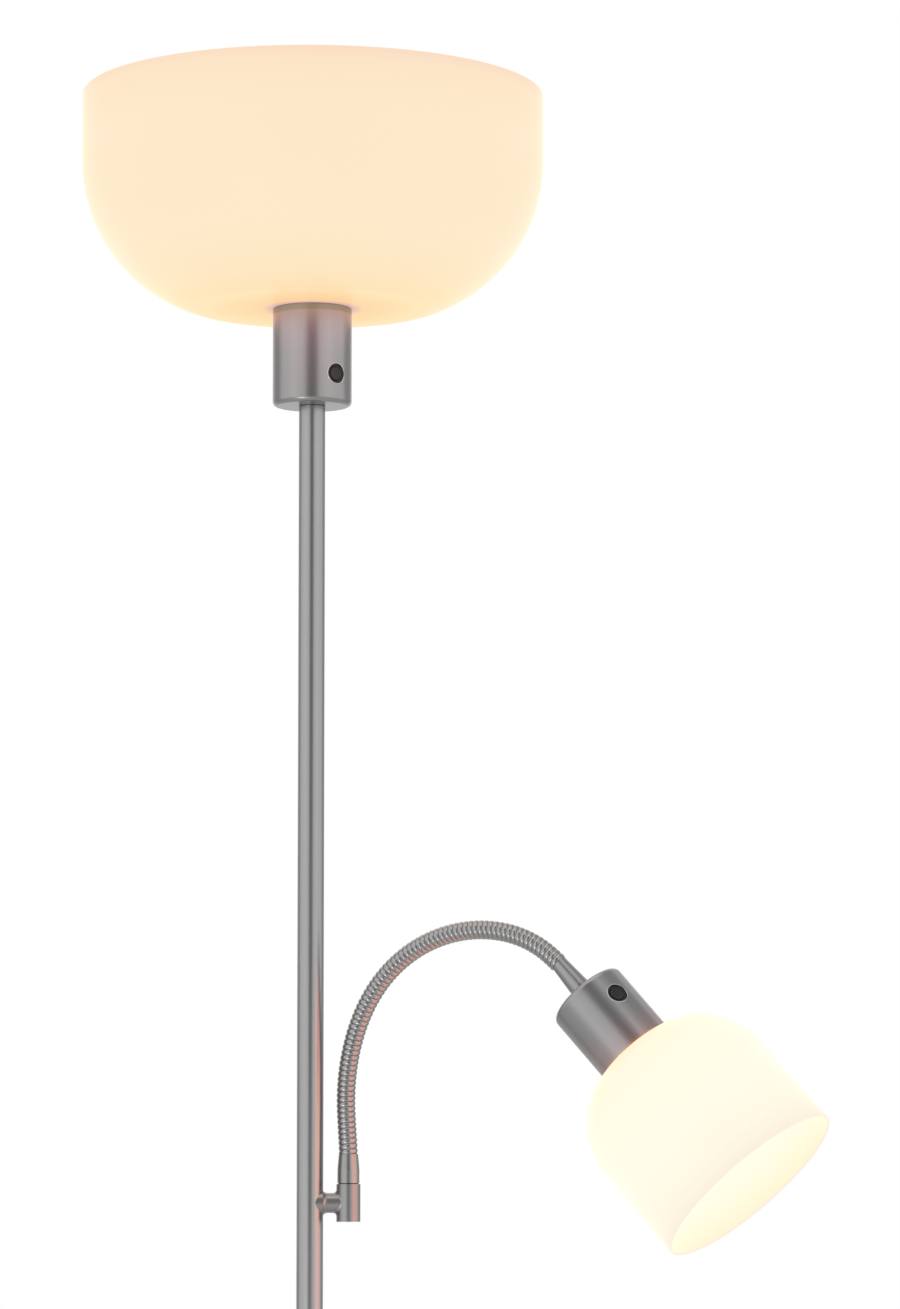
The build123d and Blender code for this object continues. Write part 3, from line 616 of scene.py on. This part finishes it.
lip = BOWL_WALL / 2
bowl_rim = arc((BOWL_RADIUS - lip, BOWL_DEPTH - lip), lip, 180, 0, 8)
bowl_outline = bowl_rim + bowl_side(0) + bowl_side(BOWL_WALL)[::-1]
bowl = turned("blown_bowl", bowl_outline, seat(BOWL_FLOOR, (0, 0, 1), (1, 0, 0)), opal_bowl, 160)
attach(bowl, "stand")
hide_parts("upper_shade")
print("bowl:", len(bowl.data.polygons), "faces,", 2 * BOWL_RADIUS, "mm across")

# %% [markdown]
# ## The reading shade
# This one is a cup: a small flat crown, a round shoulder and a side that flares
# by a third of a millimetre. Its axis is slanted, so it is turned upright and
# then placed. The inside has a lining of its own, which turns yellow towards the
# mouth.

# %% Blow the reading shade
HINGE_AXIS = Vector((0.4067, 0.9135, 0.0)).normalized()
SHADE_SHOULDER = 42.0
SHADE_CROWN = 17.6
SHADE_DEPTH = 104.2
SHADE_MOUTH = 59.9
SHADE_WALL = 2.0
SHADE_HOLE = 14.3


def shade_side(inset):
    """From the crown's hole to the end of the shoulder."""
    crown = [(SHADE_HOLE, inset), (SHADE_CROWN, inset)]
    return crown + arc((SHADE_CROWN, SHADE_SHOULDER), SHADE_SHOULDER - inset, -90, 0, 24)[1:]


lip = SHADE_WALL / 2
shade_rim = arc((SHADE_MOUTH - lip, SHADE_DEPTH - lip), lip, 0, 180, 8)
shade_outline = shade_side(0) + shade_rim + shade_side(SHADE_WALL)[::-1]
shade_seat = seat(SHADE_FLOOR, HEAD_AXIS, HINGE_AXIS)
shade = turned("blown_shade", shade_outline, shade_seat, opal_shade, 128,
               lining=opal_lining, lining_start=len(shade_side(0)) + len(shade_rim) - 1)
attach(shade, "head")
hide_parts("head_shade")
print("shade:", len(shade.data.polygons), "faces,", 2 * SHADE_MOUTH, "mm across its mouth")

# %% [markdown]
# ## The switches
# Each housing has a push button in a round black bezel. Moulded edges are never
# sharp, so the bezel gets a rounded lip and the button a rounded edge and a
# shallow dish for the fingertip. Heights are distances from the housing's axis.

# %% Mould the switches
BEZEL_RADIUS = 5.92
BEZEL_FACE = 22.9
BEZEL_BACK = 8.5
BEZEL_LIP = 0.45
FLANGE_RADIUS = 7.4
FLANGE_TOP = 21.168
FLANGE = 1.5
WELL_RADIUS = 4.42
WELL_FLOOR = 14.12
BUTTON_RADIUS = 4.3
BUTTON_FACE = 23.3
BUTTON_LENGTH = 7.6
BUTTON_EDGE = 0.7
BUTTON_DISH = 0.35
SWITCH_RISE = 17.5
HOUSING_RADIUS = 24.0
RIM_STEPS = 72
UPPER_SEAT = Vector((0, 0, 1608.0))
UPPER_SWITCH = Vector((0.6374, -0.7705, 0.0))
HEAD_SWITCH = Vector((0.3020, -0.7825, 0.5445))

bezel = [(0, BEZEL_BACK), (BEZEL_RADIUS, BEZEL_BACK), (BEZEL_RADIUS, FLANGE_TOP - FLANGE)]
bezel += [(FLANGE_RADIUS, FLANGE_TOP - FLANGE), (FLANGE_RADIUS, FLANGE_TOP),
          (BEZEL_RADIUS, FLANGE_TOP)]
bezel += arc((BEZEL_RADIUS - BEZEL_LIP, BEZEL_FACE - BEZEL_LIP), BEZEL_LIP, 0, 90, 6)
bezel += arc((WELL_RADIUS + BEZEL_LIP, BEZEL_FACE - BEZEL_LIP), BEZEL_LIP, 90, 180, 6)
bezel += [(WELL_RADIUS, WELL_FLOOR), (0, WELL_FLOOR)]

dish_rim = BUTTON_RADIUS - BUTTON_EDGE
button = [(0, BUTTON_FACE - BUTTON_LENGTH), (BUTTON_RADIUS, BUTTON_FACE - BUTTON_LENGTH)]
button += arc((dish_rim, BUTTON_FACE - BUTTON_EDGE), BUTTON_EDGE, 0, 90, 6)
for share in (0.85, 0.6, 0.3):
    button.append((dish_rim * share, BUTTON_FACE - BUTTON_DISH * (1 - share ** 2)))
button.append((0, BUTTON_FACE - BUTTON_DISH))


def hole_rim(name, switch_seat):
    """Polished rim of the hole: a small round section that follows the round wall."""
    edit = bmesh.new()
    section = [(6.46, 0.0), (6.34, 0.13), (6.14, 0.12), (5.98, -0.06), (5.98, -0.7), (6.46, -0.7)]
    rings = []
    for step in range(RIM_STEPS):
        angle = 2 * math.pi * step / RIM_STEPS
        ring = []
        for radius, rise in section:
            wall = math.sqrt(HOUSING_RADIUS ** 2 - (radius * math.sin(angle)) ** 2)
            place = (radius * math.cos(angle), radius * math.sin(angle), wall + rise)
            ring.append(edit.verts.new(Vector(place) * MM))
        rings.append(ring)
    for ring, after in zip(rings, rings[1:] + rings[:1]):
        for corner in range(len(section)):
            following = (corner + 1) % len(section)
            edit.faces.new((ring[corner], after[corner], after[following], ring[following]))
    return finished_object(name, edit, switch_seat, polished_rim)


for place, housing_seat, housing_axis, outward in (
        ("upper", UPPER_SEAT, Vector((0, 0, 1)), UPPER_SWITCH),
        ("head", HEAD_SEAT, HEAD_AXIS, HEAD_SWITCH)):
    switch_seat = seat(housing_seat + housing_axis * SWITCH_RISE, outward, housing_axis)
    ring = turned(f"{place}_bezel", bezel, switch_seat, switch_black, 64)
    disc = turned(f"{place}_push_button", button, switch_seat, button_black, 64)
    rim = hole_rim(f"{place}_hole_rim", switch_seat)
    for piece in (ring, rim):
        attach(piece, "stand" if place == "upper" else "head")
    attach(disc, f"{place}_button")
    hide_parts(f"{place}_switch")
    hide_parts(f"{place}_button")
print("switches: buttons", 2 * BUTTON_RADIUS, "mm wide in bezels", 2 * BEZEL_RADIUS, "mm wide")

# %% [markdown]
# ## The gooseneck
# A gooseneck is a steel wire wound into a hose, so its ribs are not rings but
# one right-hand screw. The solids bend at four hinges. The skin is cut in the
# grooves into four lengths, one about each hinge, each made in the rest pose.
# Rows of points follow the screw, so every rib gets the same rounded section.

# %% Trace the hose's middle line
SPAN = 15.73
NECK_TURNS = (-4.0, 1.0, 6.5, 7.0, 7.5, 8.5, 10.0, 11.0, 11.0, 11.0, 10.5, 11.0, 11.0, 13.0,
              14.0, 8.5)
ARM_AZIMUTH = math.radians(-24)
ARM_OUTWARD = Vector((math.cos(ARM_AZIMUTH), math.sin(ARM_AZIMUTH), 0))
UPWARD = Vector((0, 0, 1))


def heading(angle):
    """Direction in the arm's plane, degrees above the horizontal."""
    return ARM_OUTWARD * math.cos(math.radians(angle)) + UPWARD * math.sin(math.radians(angle))


angles = [90.0]
for turn in NECK_TURNS:
    angles.append(angles[-1] - turn)
pivots = [Vector((23.0, 0, 1157.25))]
for angle in angles[1:-1]:
    pivots.append(pivots[-1] + heading(angle) * SPAN)


def middle_line(distance):
    """Point and direction of the hose at a distance from its first hinge, in mm."""
    number = min(max(math.floor(distance / SPAN + 0.5), 0), len(pivots) - 1)
    share = distance / SPAN + 0.5 - number
    pivot, before, after = pivots[number], heading(angles[number]), heading(angles[number + 1])
    if share < 0 or number == 0 and share < 0.5 - 1 / SPAN:
        return pivot + before * (share - 0.5) * SPAN, before
    if share > 1:
        return pivot + after * (share - 0.5) * SPAN, after
    start, end = pivot - before * SPAN / 2, pivot + after * SPAN / 2
    point = start * (1 - share) ** 2 + pivot * 2 * share * (1 - share) + end * share ** 2
    return point, (before * (1 - share) + after * share).normalized()


print("hose runs from", [round(value, 1) for value in pivots[0]],
      "to", [round(value, 1) for value in pivots[-1]])

# %% Wind the hose
PITCH = SPAN / 5
RIB_SHARES = (0.0, 0.05, 0.12, 0.22, 0.35, 0.5, 0.65, 0.78, 0.88, 0.95)
GROOVE_RADIUS = 5.05
RIB_RADIUS = 5.7
STUB_RADIUS = 3.6
HOSE_BORE = 2.4
HOSE_SIDES = 48
FERRULE_GAP = 1.0
HOSE_END = (len(pivots) - 1) * SPAN
ROWS = len(RIB_SHARES)
WELD_DISTANCE = 1e-7


def hose_radius(share, distance):
    """A narrow groove and a full round back, drawn in to a stub inside the ferrules."""
    rib = GROOVE_RADIUS + (RIB_RADIUS - GROOVE_RADIUS) * math.sin(math.pi * share) ** 0.6
    hidden = max(-FERRULE_GAP - distance, distance - HOSE_END - FERRULE_GAP)
    return max(STUB_RADIUS, min(rib, RIB_RADIUS - 3 * max(hidden, 0)))


def hose_point(distance, angle, radius):
    """Point of the hose's skin, in metres."""
    point, along = middle_line(distance)
    sideways = HINGE_AXIS * (radius * math.cos(angle))
    return (point + sideways + along.cross(HINGE_AXIS) * (radius * math.sin(angle))) * MM


def hose_length(name, first_turn, last_turn):
    """Closed length of hose between two grooves, counted in turns of the screw."""
    edit = bmesh.new()
    count = (last_turn - first_turn) * ROWS
    outer, inner = [], []
    for row in range(count + 1):
        share = RIB_SHARES[row % ROWS]
        base = (first_turn + row // ROWS + share) * PITCH
        skin, bore = [], []
        for side in range(HOSE_SIDES + 1):
            angle = 2 * math.pi * side / HOSE_SIDES
            distance = base + PITCH * side / HOSE_SIDES
            skin.append(edit.verts.new(hose_point(distance, angle, hose_radius(share, distance))))
            bore.append(edit.verts.new(hose_point(distance, angle, HOSE_BORE)))
        outer.append(skin)
        inner.append(bore)
    for row in range(count):
        for side in range(HOSE_SIDES):
            edit.faces.new((outer[row][side], outer[row][side + 1],
                            outer[row + 1][side + 1], outer[row + 1][side]))
            edit.faces.new((inner[row][side], inner[row + 1][side],
                            inner[row + 1][side + 1], inner[row][side + 1]))
    for side in range(HOSE_SIDES):
        for row in (0, count):
            edit.faces.new((outer[row][side], outer[row][side + 1],
                            inner[row][side + 1], inner[row][side]))
    for row in range(ROWS):
        last = count - ROWS + row
        edit.faces.new((outer[row][0], outer[row + 1][0], inner[row + 1][0], inner[row][0]))
        edit.faces.new((outer[last][-1], outer[last + 1][-1], inner[last + 1][-1], inner[last][-1]))
    bmesh.ops.remove_doubles(edit, verts=edit.verts, dist=WELD_DISTANCE)
    return finished_object(name, edit, Matrix.Identity(4), hose_nickel)


# Each length: its first and last turn, its hinge's pivot and the reach of the bend on both sides.
HOSE_LENGTHS = [(-2, 20, 2, 25), (20, 37, 6, 20), (37, 54, 9, 20), (54, 76, 13, 28)]
for number, (first, last, pivot, bend_reach) in enumerate(HOSE_LENGTHS):
    length = hose_length(f"gooseneck_{number + 1}", first, last)
    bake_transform(length)
    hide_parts(f"neck_hose_{number + 1}", *(["neck_hose_5"] if last == 76 else []))
print("hose:", len(HOSE_LENGTHS), "lengths, ribs", PITCH, "mm apart")
